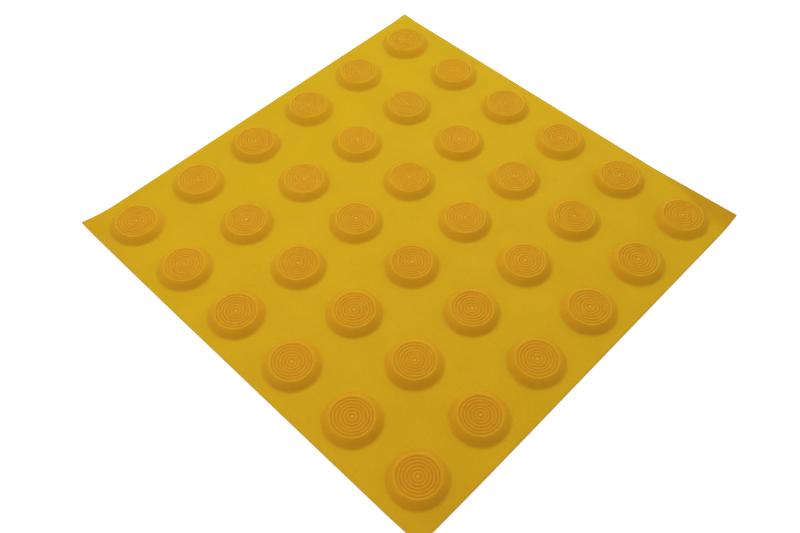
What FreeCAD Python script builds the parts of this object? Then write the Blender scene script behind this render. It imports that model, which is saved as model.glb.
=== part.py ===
"""Tactile paving slab: a square moulded sheet with a square grid of raised truncated-cone studs.

The slab lies flat, studs up. Its origin is the centre of the underside, +Z is up, and the stud rows
run along X and Y. Lengths are in millimetres.
"""

import FreeCAD, Part
import math
import os

# Stud grid
STUD_PITCH = 50.0
STUDS_PER_SIDE = 6

# One stud: a cone cut off flat
STUD_BASE_DIAMETER = 35.0
STUD_TOP_DIAMETER = 26.0
STUD_HEIGHT = 5.0

# The shallow round recess in a stud's top, with a sloping wall: fine anti-slip rings stand on its floor
RECESS_DIAMETER = 24.4
RECESS_DEPTH = 0.5
RECESS_WALL_WIDTH = 0.5

# Sheet that carries the studs, with its upper edge eased all round
SHEET_THICKNESS = 2.0
EDGE_EASING = 0.5

# The grid runs on unbroken from one slab to the next, so the side is a whole number of pitches
SLAB_SIDE = STUDS_PER_SIDE * STUD_PITCH

UP = FreeCAD.Vector(0, 0, 1)


def make_sheet():
    """The flat square sheet, with a bevel along its four upper edges."""
    corner = FreeCAD.Vector(-SLAB_SIDE / 2, -SLAB_SIDE / 2, 0)
    sheet = Part.makeBox(SLAB_SIDE, SLAB_SIDE, SHEET_THICKNESS, corner)
    upper_edges = [
        edge for edge in sheet.Edges if all(math.isclose(v.Z, SHEET_THICKNESS) for v in edge.Vertexes)
    ]
    return sheet.makeChamfer(EDGE_EASING, upper_edges)


def make_stud():
    """One stud, standing on the sheet's upper face at the slab's centre, as a turned profile."""
    floor_z = SHEET_THICKNESS
    top_z = floor_z + STUD_HEIGHT
    recess_z = top_z - RECESS_DEPTH
    outline = [
        (0, floor_z),
        (STUD_BASE_DIAMETER / 2, floor_z),
        (STUD_TOP_DIAMETER / 2, top_z),
        (RECESS_DIAMETER / 2, top_z),
        (RECESS_DIAMETER / 2 - RECESS_WALL_WIDTH, recess_z),
        (0, recess_z),
        (0, floor_z),
    ]
    profile = Part.makePolygon([FreeCAD.Vector(radius, 0, z) for radius, z in outline])
    return Part.Face(profile).revolve(FreeCAD.Vector(), UP, 360)


def make_studs():
    """The square grid of studs, centred on the slab."""
    stud = make_stud()
    first = -(STUDS_PER_SIDE - 1) * STUD_PITCH / 2
    studs = []
    for row in range(STUDS_PER_SIDE):
        for column in range(STUDS_PER_SIDE):
            place = FreeCAD.Vector(first + column * STUD_PITCH, first + row * STUD_PITCH, 0)
            studs.append(stud.translated(place))
    return studs


def make_slab():
    """Sheet and studs as the single solid that leaves the mould."""
    return make_sheet().multiFuse(make_studs()).removeSplitter().Solids[0]


os.makedirs("parts", exist_ok=True)
slab = make_slab()
slab.exportStep("parts/tactile_slab.step")
print(f"tactile_slab: {slab.Volume / 1000:.1f} cm3, {len(slab.Faces)} faces, valid {slab.isValid()}")
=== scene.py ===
"""Tactile paving slab in yellow polyurethane, lying on a white studio floor. Lengths are in metres."""

import math

import bpy
import numpy as np
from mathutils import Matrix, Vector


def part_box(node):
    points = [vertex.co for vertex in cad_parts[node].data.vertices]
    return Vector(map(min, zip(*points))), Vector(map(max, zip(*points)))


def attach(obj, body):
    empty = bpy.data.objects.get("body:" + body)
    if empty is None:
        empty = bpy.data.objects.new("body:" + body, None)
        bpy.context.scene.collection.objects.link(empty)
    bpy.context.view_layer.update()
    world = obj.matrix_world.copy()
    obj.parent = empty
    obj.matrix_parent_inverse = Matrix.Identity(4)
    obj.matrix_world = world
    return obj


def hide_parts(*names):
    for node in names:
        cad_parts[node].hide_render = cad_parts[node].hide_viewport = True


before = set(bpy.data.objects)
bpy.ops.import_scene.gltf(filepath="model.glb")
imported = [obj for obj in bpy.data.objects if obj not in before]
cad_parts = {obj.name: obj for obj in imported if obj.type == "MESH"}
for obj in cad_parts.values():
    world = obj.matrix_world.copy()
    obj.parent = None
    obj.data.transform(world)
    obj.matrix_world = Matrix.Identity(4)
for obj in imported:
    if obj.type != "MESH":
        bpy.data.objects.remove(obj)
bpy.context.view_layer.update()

MM = 0.001

# The slab: a square sheet with rows of studs
SLAB_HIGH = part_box("tactile_slab")[1]
HALF_SIDE = SLAB_HIGH.x
STUDS_PER_SIDE = 6
CELL_HALF = HALF_SIDE / STUDS_PER_SIDE
STUD_HEIGHT = 5 * MM
SHEET_TOP = SLAB_HIGH.z - STUD_HEIGHT
EDGE_RADIUS = 0.5 * MM
UNDERSIDE_EDGE = 0.2 * MM
EDGE_STEPS = 3

# One stud
STUD_BASE_RADIUS = 17.5 * MM
STUD_TOP_RADIUS = 13 * MM
RIM_ROUNDING = 1.0 * MM
FOOT_ROUNDING = 2.4 * MM
ROUNDING_STEPS = 3
STUD_SEGMENTS = 48

# The rings on a stud's top: round grooves about a centre point
GROOVES = 6
GROOVE_PITCH = 2 * MM
FIRST_GROOVE_RADIUS = 1.65 * MM
GROOVE_DEPTH = 0.5 * MM
RIM_INNER_RADIUS = 12.5 * MM
STEPS_PER_GROOVE = 6
POINT_STEPS = 5

# Rings of the mesh between a stud's foot and the edge of its square cell, as shares of the way
SHEET_SHARES = (0.2, 0.4, 0.6, 0.8, 1.0)

# Points of the mesh that lie closer than this are one point
WELD_GRID = 0.001 * MM

# Tint of the polyurethane, partly the studs' own deeper orange and partly painted shade in the grooves and
# on the flanks: 0 on the sheet, up to 1 for the deepest orange, and below 0 for a painted highlight
FLANK_TINT_AND_SHADE = 0.39
RIM_TINT = 0.20
CREST_TINT = 0.33
GROOVE_SHADE_TINT = 0.68
# Painted highlight on each stud's centre point
POINT_HIGHLIGHT_TINT = -1.0
# How closely a groove's painted shade keeps to its bottom
GROOVE_SHADE_POWER = 3
# Tint of the rings' crests from the centre point, with its painted highlight, to the rim
TINT_RADII = (0, 1.2 * MM, 10.65 * MM, RIM_INNER_RADIUS)
TINTS_AT_RADII = (POINT_HIGHLIGHT_TINT, CREST_TINT, CREST_TINT, RIM_TINT)

# Corners that have curled up: the corner, the way that the curl runs along X and Y, its height, how it
# rises, from 1 for a straight slope past a sharp fold to 2 for an even bend, and how strongly painted shade
# darkens it
CURLS = (
    ((1, -1), (15 * MM, 65 * MM), 3.4 * MM, 1.0, 1.0),
    ((-1, 1), (25 * MM, 95 * MM), 2.4 * MM, 1.5, 0.35),
    ((-1, -1), (70 * MM, 25 * MM), 2.9 * MM, 1.5, 0.3),
)

# Edges that have lifted a little, in an even bend: the way out over the edge, and the height
EDGE_LIFTS = (
    ((-1, 0), 1.1 * MM),
    ((1, 0), 0.9 * MM),
    ((0, 1), 0.7 * MM),
)
EDGE_LIFT_REACH = 18 * MM
EVEN_BEND = 2

# Lift of a curled corner at which its painted shade is full
FULL_SHADE_LIFT = 1.0 * MM

# Colours, linear
SHEET_YELLOW = (0.637, 0.384, 0.0088, 1)
STUD_ORANGE = (0.625, 0.234, 0.0170, 1)
# Painted shade at the curled corners: a darker ochre
CURL_PAINTED_SHADE = (0.560, 0.300, 0.0090, 1)
# Painted highlight on each stud's centre point: a paler yellow
POINT_PAINTED_HIGHLIGHT = (0.740, 0.450, 0.0180, 1)
SPECK_BROWN = (0.250, 0.130, 0.0200, 1)
WHITE = (1, 1, 1, 1)

# Painted light and shade across the slab, as factors of its colour at the near corner, painted darker and
# more orange, and at the far corner, painted lighter and yellower
PAINTED_GRADIENT_WAY = (0.5 / HALF_SIDE, 0.5 / HALF_SIDE, 0)
NEAR_PAINTED_SHADE = (1.028, 0.964, 1.0, 1)
FAR_PAINTED_LIGHT = (0.972, 1.036, 1.0, 1)

# Noise in the finish: its scale per metre, its detail, and the values between which it runs
MOTTLE = (38, 4, 0.97, 1.03)
GRAIN = (900, 2, 0.96, 1.03)
ROUGHNESS = (120, 3, 0.50, 0.62)
# Most of a noise's own values lie between these two
NOISE_LOW = 0.3
NOISE_HIGH = 0.7

# Specks in the finish: they begin at the first value of their noise, and are full at the second
SPECK_SCALE = 420
SPECK_DETAIL = 1
SPECK_VALUES = (0.77, 0.81)
SPECK_STRENGTH = 0.3

# Fine skin of the mould, and its gloss
SKIN_SCALE = 1400
SKIN_DETAIL = 3
SKIN_STRENGTH = 0.25
SKIN_DEPTH = 0.12 * MM
SPECULAR_LEVEL = 0.04

# Light that enters the studs: the tint at which it has its full weight, and how far its colours reach
DEEP_TINT = 0.3
DEEP_WEIGHT = 0.7
DEEP_COLOURS = (1, 0.3, 0.1)
DEEP_REACH = 4 * MM

# Camera, with its turn in degrees and its lens in millimetres
CAMERA_PLACE = (-0.26515, -0.24654, 0.44495)
CAMERA_TURN = (36.377, -0.102, -45.878)
CAMERA_LENS = 39.517
CAMERA_NEAR = 10 * MM

# Light: the world's own, and the name, place and power of each soft box
WORLD_EVEN = 0.373
WORLD_SIDES = 0.591
SIDE_WAY = (-0.9, 0.4, 0.0)
SOFT_BOXES = (
    ("left_box", (-0.14, 0.15, 0.40), 0.515),
    ("right_box", (0.28, 0.10, 0.40), 0.627),
)
SOFT_BOX_SIZE = 0.3

# Floor
FLOOR_SIDE = 12
FLOOR_DROP = 0.1 * MM
FLOOR_WHITE = (0.80, 0.80, 0.80, 1)
FLOOR_LIFT = 0.62


def rounding(before, corner, after, radius, steps):
    """Points of an arc that rounds off a corner of a (radius, height) outline."""
    start_way = (before - corner) / np.linalg.norm(before - corner)
    end_way = (after - corner) / np.linalg.norm(after - corner)
    half_angle = math.acos(float(np.dot(start_way, end_way))) / 2
    reach = radius / math.tan(half_angle)
    inward = (start_way + end_way) / np.linalg.norm(start_way + end_way)
    centre = corner + inward * radius / math.sin(half_angle)
    first = corner + start_way * reach - centre
    last = corner + end_way * reach - centre
    points = []
    for share in np.linspace(0, 1, steps + 1):
        way = first * (1 - share) + last * share
        points.append(centre + way / np.linalg.norm(way) * radius)
    return points


def groove_share(radius):
    """Depth at a radius of a stud's top as a share of the grooves' depth."""
    past_first = radius - FIRST_GROOVE_RADIUS
    past_last = past_first - (GROOVES - 1) * GROOVE_PITCH
    if past_first < 0:
        turn = math.pi * past_first / FIRST_GROOVE_RADIUS
    elif past_last > 0:
        turn = math.pi * past_last / (RIM_INNER_RADIUS - radius + past_last)
    else:
        turn = 2 * math.pi * past_first / GROOVE_PITCH
    return 0.5 + 0.5 * math.cos(turn)


def top_radii():
    """Radii of the mesh's rings on a stud's top, from the centre point to the rim."""
    last_groove_radius = FIRST_GROOVE_RADIUS + (GROOVES - 1) * GROOVE_PITCH
    between_steps = STEPS_PER_GROOVE * (GROOVES - 1)
    half_steps = STEPS_PER_GROOVE // 2
    point = np.linspace(0, FIRST_GROOVE_RADIUS, POINT_STEPS, endpoint=False)[1:]
    grooves = np.linspace(FIRST_GROOVE_RADIUS, last_groove_radius, between_steps, endpoint=False)
    to_rim = np.linspace(last_groove_radius, RIM_INNER_RADIUS, half_steps + 1)
    return np.concatenate([point, grooves, to_rim])


def stud_profile():
    """Rings of a stud from its centre outwards: radius, height above the sheet, and tint, with painted shade
    in the grooves and on the flank.
    """
    rings = []
    for radius in top_radii():
        share = groove_share(radius)
        crest = np.interp(radius, TINT_RADII, TINTS_AT_RADII)
        # Painted shade: a deeper orange towards each groove's bottom
        tint = crest + (GROOVE_SHADE_TINT - crest) * share**GROOVE_SHADE_POWER
        rings.append((radius, STUD_HEIGHT - GROOVE_DEPTH * share, tint))

    crown = np.array((0, STUD_HEIGHT))
    shoulder = np.array((STUD_TOP_RADIUS, STUD_HEIGHT))
    foot = np.array((STUD_BASE_RADIUS, 0))
    beyond = np.array((CELL_HALF, 0))
    for radius, height in rounding(crown, shoulder, foot, RIM_ROUNDING, ROUNDING_STEPS):
        rings.append((radius, height, RIM_TINT))
    middle = (shoulder + foot) / 2
    rings.append((middle[0], middle[1], FLANK_TINT_AND_SHADE))
    foot_points = rounding(shoulder, foot, beyond, FOOT_ROUNDING, ROUNDING_STEPS)
    for step, (radius, height) in enumerate(foot_points):
        rings.append((radius, height, FLANK_TINT_AND_SHADE * (1 - step / ROUNDING_STEPS)))
    return rings


def stud_cell():
    """A stud and the square of sheet about it: points with their tint, and faces."""
    angles = np.arange(STUD_SEGMENTS) * 2 * math.pi / STUD_SEGMENTS
    ways = np.stack([np.cos(angles), np.sin(angles)], axis=1)
    edge_reach = CELL_HALF / np.abs(ways).max(axis=1)
    rings = stud_profile()
    points = [(0, 0, SHEET_TOP + STUD_HEIGHT, POINT_HIGHLIGHT_TINT)]
    for radius, height, tint in rings:
        points += [(x * radius, y * radius, SHEET_TOP + height, tint) for x, y in ways]
    foot_radius = rings[-1][0]
    for share in SHEET_SHARES:
        reach = foot_radius + (edge_reach - foot_radius) * share
        points += [(x * r, y * r, SHEET_TOP, 0) for (x, y), r in zip(ways, reach)]

    follower = np.roll(np.arange(STUD_SEGMENTS), -1)
    faces = [(0, 1 + k, 1 + follower[k]) for k in range(STUD_SEGMENTS)]
    for ring in range(len(rings) + len(SHEET_SHARES) - 1):
        inner = 1 + ring * STUD_SEGMENTS
        outer = inner + STUD_SEGMENTS
        for k, after in enumerate(follower):
            faces.append((inner + k, outer + k, outer + after, inner + after))
    return np.array(points), faces


def stud_places():
    """Where the studs' centres lie along one side of the slab."""
    return (2 * np.arange(STUDS_PER_SIDE) + 1 - STUDS_PER_SIDE) * CELL_HALF


def kept_inside(points, inset):
    """Points drawn in to a square that lies that far inside the slab's outline."""
    points = points.copy()
    points[:, :2] = np.clip(points[:, :2], inset - HALF_SIDE, HALF_SIDE - inset)
    return points


def upper_side():
    """The upper face: the cell of a stud, laid out in rows."""
    cell, faces = stud_cell()
    for y in stud_places():
        for x in stud_places():
            yield kept_inside(cell + (x, y, 0, 0), EDGE_RADIUS), faces


def edge_ticks():
    """Where the cells' points lie along one side of the slab."""
    eighth = STUD_SEGMENTS // 8
    within = CELL_HALF * np.tan(np.arange(-eighth, eighth) * 2 * math.pi / STUD_SEGMENTS)
    ticks = [place + step for place in stud_places() for step in within]
    return np.array(ticks + [HALF_SIDE])


def rim_side():
    """The narrow side all round, rounded above and eased below."""
    ticks = edge_ticks()[:-1]
    flat = np.full(len(ticks), HALF_SIDE)
    loop = np.concatenate(
        [
            np.stack([ticks, -flat], axis=1),
            np.stack([flat, ticks], axis=1),
            np.stack([-ticks, flat], axis=1),
            np.stack([-flat, -ticks], axis=1),
        ]
    )
    outline = []
    for angle in np.linspace(0, math.pi / 2, EDGE_STEPS + 1):
        inset = EDGE_RADIUS * (1 - math.sin(angle))
        height = SHEET_TOP - EDGE_RADIUS * (1 - math.cos(angle))
        outline.append((inset, height))
    outline.append((0, UNDERSIDE_EDGE))
    outline.append((UNDERSIDE_EDGE, 0))

    count = len(loop)
    points = []
    for inset, height in outline:
        level = np.concatenate([loop, np.full((count, 1), height), np.zeros((count, 1))], axis=1)
        points.append(kept_inside(level, inset))
    faces = []
    for level in range(len(outline) - 1):
        upper = level * count
        lower = upper + count
        for k in range(count):
            after = (k + 1) % count
            faces.append((upper + k, lower + k, lower + after, upper + after))
    return np.concatenate(points), faces


def underside():
    """The flat face that the slab rests on."""
    ticks = edge_ticks()
    count = len(ticks)
    x, y = np.meshgrid(ticks, ticks)
    points = np.stack([x.ravel(), y.ravel(), np.zeros(count**2), np.zeros(count**2)], axis=1)
    faces = []
    for row in range(count - 1):
        for column in range(count - 1):
            corner = row * count + column
            faces.append((corner, corner + count, corner + count + 1, corner + 1))
    return kept_inside(points, UNDERSIDE_EDGE), faces


def weld(patches):
    """Patches joined into one surface where their points meet."""
    points, faces, start = [], [], 0
    for patch_points, patch_faces in patches:
        points.append(patch_points)
        faces += [[start + corner for corner in face] for face in patch_faces]
        start += len(patch_points)
    points = np.concatenate(points)
    places = np.round(points[:, :3] / WELD_GRID).astype(np.int64)
    _, kept, merged = np.unique(places, axis=0, return_index=True, return_inverse=True)
    merged = merged.ravel()
    return points[kept], [[int(merged[corner]) for corner in face] for face in faces]


def curled(x, y):
    """How far the curled corners and edges lift the slab at a place, and how strongly painted shade darkens
    it there.
    """
    lift = np.zeros_like(x)
    painted_curl_shade = np.zeros_like(x)
    for (side_x, side_y), (reach_x, reach_y), height, power, shade_strength in CURLS:
        from_x = (HALF_SIDE - side_x * x) / reach_x
        from_y = (HALF_SIDE - side_y * y) / reach_y
        past_fold = np.clip(1 - from_x - from_y, 0, 1)
        corner_lift = height * past_fold**power
        lift += corner_lift
        # Painted shade on a curled corner, full once the corner has lifted far enough
        painted_curl_shade += shade_strength * np.clip(corner_lift / FULL_SHADE_LIFT, 0, 1)
    for (way_x, way_y), height in EDGE_LIFTS:
        from_edge = HALF_SIDE - way_x * x - way_y * y
        lift += height * np.clip(1 - from_edge / EDGE_LIFT_REACH, 0, 1) ** EVEN_BEND
    return lift, painted_curl_shade


def make_slab():
    """The slab as one closed mesh, with its tint and the painted shade of its curled corners at each point.
    """
    points, faces = weld([*upper_side(), rim_side(), underside()])
    lift, painted_curl_shade = curled(points[:, 0], points[:, 1])
    points[:, 2] += lift
    mesh = bpy.data.meshes.new("slab_visual")
    mesh.from_pydata(points[:, :3].tolist(), [], faces)
    # Point attributes: the tint, and the painted shade of the curled corners
    for name, values in (("tint", points[:, 3]), ("curl_shade", painted_curl_shade)):
        attribute = mesh.attributes.new(name, "FLOAT", "POINT")
        attribute.data.foreach_set("value", values.astype(np.float32))
    mesh.shade_smooth()
    mesh.materials.append(polyurethane())
    slab = bpy.data.objects.new("slab_visual", mesh)
    bpy.context.scene.collection.objects.link(slab)
    slab.modifiers.new("even_normals", "WEIGHTED_NORMAL")
    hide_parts("tactile_slab")
    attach(slab, "root")


class Nodes:
    """Short way to add and join the nodes of a material or a world."""

    def __init__(self, owner):
        owner.use_nodes = True
        self.tree = owner.node_tree
        self.tree.nodes.clear()

    def feed(self, socket, source):
        """Joins an input to an output socket, or gives it a value."""
        if isinstance(source, bpy.types.NodeSocket):
            self.tree.links.new(source, socket)
        else:
            socket.default_value = source

    def add(self, kind, links=None, **settings):
        """A node with its settings; links maps an input's name or number to an output socket or a value."""
        node = self.tree.nodes.new(kind)
        for name, value in settings.items():
            setattr(node, name, value)
        for name, source in (links or {}).items():
            self.feed(node.inputs[name], source)
        return node

    def noise(self, place, scale, detail):
        """Noise at the object's own scale."""
        noise = self.add("ShaderNodeTexNoise", {"Vector": place, "Scale": scale, "Detail": detail})
        return noise.outputs["Fac"]

    def spread_noise(self, place, scale, detail, low, high):
        """Noise at the object's own scale, spread from low to high."""
        return self.spread(self.noise(place, scale, detail), NOISE_LOW, NOISE_HIGH, low, high)

    def spread(self, value, from_low, from_high, low, high):
        """A value moved from one range to another, and held inside it."""
        spread = self.add(
            "ShaderNodeMapRange",
            {"Value": value, "From Min": from_low, "From Max": from_high, "To Min": low, "To Max": high},
        )
        return spread.outputs["Result"]

    def dot(self, vector, way):
        """How far a vector reaches along a way."""
        product = self.add("ShaderNodeVectorMath", {0: vector, 1: way}, operation="DOT_PRODUCT")
        return product.outputs["Value"]

    def mix(self, share, first, second, blend="MIX"):
        """Two colours mixed, or one blended over the other."""
        mix = self.add("ShaderNodeMix", data_type="RGBA", blend_type=blend)
        sources = {"Factor_Float": share, "A_Color": first, "B_Color": second}
        for socket in mix.inputs:
            if socket.identifier in sources:
                self.feed(socket, sources[socket.identifier])
        return next(s for s in mix.outputs if s.identifier == "Result_Color")


def polyurethane_colour(nodes, place, tint):
    """Yellow, orange on the studs with painted shade in the grooves and on the flanks, a painted highlight
    on each centre point, painted shade at curled corners and painted light and shade across the slab, a
    little mottled, grained and flecked.
    """
    # Painted shade: the sheet turns a darker ochre where its corners have curled up
    curl_shade = nodes.add("ShaderNodeAttribute", attribute_name="curl_shade").outputs["Fac"]
    colour = nodes.mix(curl_shade, SHEET_YELLOW, CURL_PAINTED_SHADE)
    # Orange on the studs: partly their own deeper colour, partly painted shade in the grooves and on the
    # flanks
    colour = nodes.mix(tint, colour, STUD_ORANGE)
    # Painted highlight: a paler yellow on each stud's centre point, where the tint falls below 0
    colour = nodes.mix(nodes.spread(tint, 0, POINT_HIGHLIGHT_TINT, 0, 1), colour, POINT_PAINTED_HIGHLIGHT)

    # Painted light and shade: darker and more orange towards the near corner, lighter and yellower towards
    # the far corner
    across = nodes.spread(nodes.dot(place, PAINTED_GRADIENT_WAY), -1, 1, 0, 1)
    colour = nodes.mix(1.0, colour, nodes.mix(across, NEAR_PAINTED_SHADE, FAR_PAINTED_LIGHT), "MULTIPLY")

    for texture in (MOTTLE, GRAIN):
        value = nodes.spread_noise(place, *texture)
        grey = nodes.add("ShaderNodeCombineColor", {"Red": value, "Green": value, "Blue": value})
        colour = nodes.mix(1.0, colour, grey.outputs["Color"], "MULTIPLY")

    specks = nodes.spread(nodes.noise(place, SPECK_SCALE, SPECK_DETAIL), *SPECK_VALUES, 0, SPECK_STRENGTH)
    return nodes.mix(specks, colour, SPECK_BROWN)


def polyurethane():
    """Yellow moulded polyurethane: satin, with a fine skin, and light that enters the thicker studs."""
    material = bpy.data.materials.new("yellow_polyurethane")
    nodes = Nodes(material)
    place = nodes.add("ShaderNodeTexCoord").outputs["Object"]
    tint = nodes.add("ShaderNodeAttribute", attribute_name="tint").outputs["Fac"]
    skin = nodes.noise(place, SKIN_SCALE, SKIN_DETAIL)
    bump = nodes.add(
        "ShaderNodeBump", {"Strength": SKIN_STRENGTH, "Distance": SKIN_DEPTH, "Height": skin}
    )
    shader = nodes.add(
        "ShaderNodeBsdfPrincipled",
        {
            "Base Color": polyurethane_colour(nodes, place, tint),
            "Roughness": nodes.spread_noise(place, *ROUGHNESS),
            "Specular IOR Level": SPECULAR_LEVEL,
            "Subsurface Weight": nodes.spread(tint, 0, DEEP_TINT, 0, DEEP_WEIGHT),
            "Subsurface Radius": DEEP_COLOURS,
            "Subsurface Scale": DEEP_REACH,
            "Normal": bump.outputs["Normal"],
        },
    )
    nodes.add("ShaderNodeOutputMaterial", {"Surface": shader.outputs["BSDF"]})
    return material


def shows_background(nodes):
    """1 for a ray that shows the background: from the camera, or by way of gloss or glass."""
    rays = nodes.add("ShaderNodeLightPath").outputs
    seen = rays["Is Camera Ray"]
    for kind in ("Is Glossy Ray", "Is Transmission Ray"):
        either = nodes.add("ShaderNodeMath", {0: seen, 1: rays[kind]}, operation="ADD")
        seen = either.outputs["Value"]
    return seen


def white_floor():
    """Matt white that is seen lifted to white, while it still takes the slab's shadow."""
    material = bpy.data.materials.new("white_floor")
    nodes = Nodes(material)
    matt = nodes.add("ShaderNodeBsdfDiffuse", {"Color": FLOOR_WHITE})
    strength = nodes.spread(shows_background(nodes), 0, 1, 0, FLOOR_LIFT)
    lift = nodes.add("ShaderNodeEmission", {"Color": WHITE, "Strength": strength})
    both = nodes.add("ShaderNodeAddShader", {0: matt.outputs["BSDF"], 1: lift.outputs["Emission"]})
    nodes.add("ShaderNodeOutputMaterial", {"Surface": both.outputs["Shader"]})
    return material


def make_floor():
    """A wide square floor just under the slab."""
    half = FLOOR_SIDE / 2
    corners = ((-half, -half), (half, -half), (half, half), (-half, half))
    mesh = bpy.data.meshes.new("floor")
    mesh.from_pydata([(x, y, -FLOOR_DROP) for x, y in corners], [], [(0, 1, 2, 3)])
    mesh.materials.append(white_floor())
    floor = bpy.data.objects.new("floor", mesh)
    bpy.context.scene.collection.objects.link(floor)


def make_world():
    """White light from all round, stronger from two opposite sides, in front of a plain white background."""
    world = bpy.data.worlds.new("studio")
    nodes = Nodes(world)
    way = nodes.add("ShaderNodeTexCoord").outputs["Generated"]
    either_side = nodes.add("ShaderNodeMath", {0: nodes.dot(way, SIDE_WAY)}, operation="ABSOLUTE")
    light = nodes.spread(either_side.outputs["Value"], 0, 1, WORLD_EVEN, WORLD_EVEN + WORLD_SIDES)
    strength = nodes.spread(shows_background(nodes), 0, 1, light, 1)
    background = nodes.add("ShaderNodeBackground", {"Color": WHITE, "Strength": strength})
    nodes.add("ShaderNodeOutputWorld", {"Surface": background.outputs["Background"]})
    bpy.context.scene.world = world


def make_soft_boxes():
    """Two soft panels, over the slab's left corner and beyond its right side, turned to its centre."""
    for name, place, power in SOFT_BOXES:
        light = bpy.data.lights.new(name, "AREA")
        light.shape = "SQUARE"
        light.size = SOFT_BOX_SIZE
        light.energy = power
        box = bpy.data.objects.new(name, light)
        box.location = place
        box.rotation_euler = (-box.location).to_track_quat("-Z", "Y").to_euler()
        bpy.context.scene.collection.objects.link(box)


def make_camera():
    """The camera, over the slab's near corner."""
    data = bpy.data.cameras.new("camera")
    data.lens = CAMERA_LENS
    data.clip_start = CAMERA_NEAR
    camera = bpy.data.objects.new("camera", data)
    camera.location = CAMERA_PLACE
    camera.rotation_euler = [math.radians(angle) for angle in CAMERA_TURN]
    bpy.context.scene.collection.objects.link(camera)
    bpy.context.scene.camera = camera


make_slab()
make_floor()
make_world()
make_soft_boxes()
make_camera()
bpy.context.scene.view_settings.view_transform = "Standard"
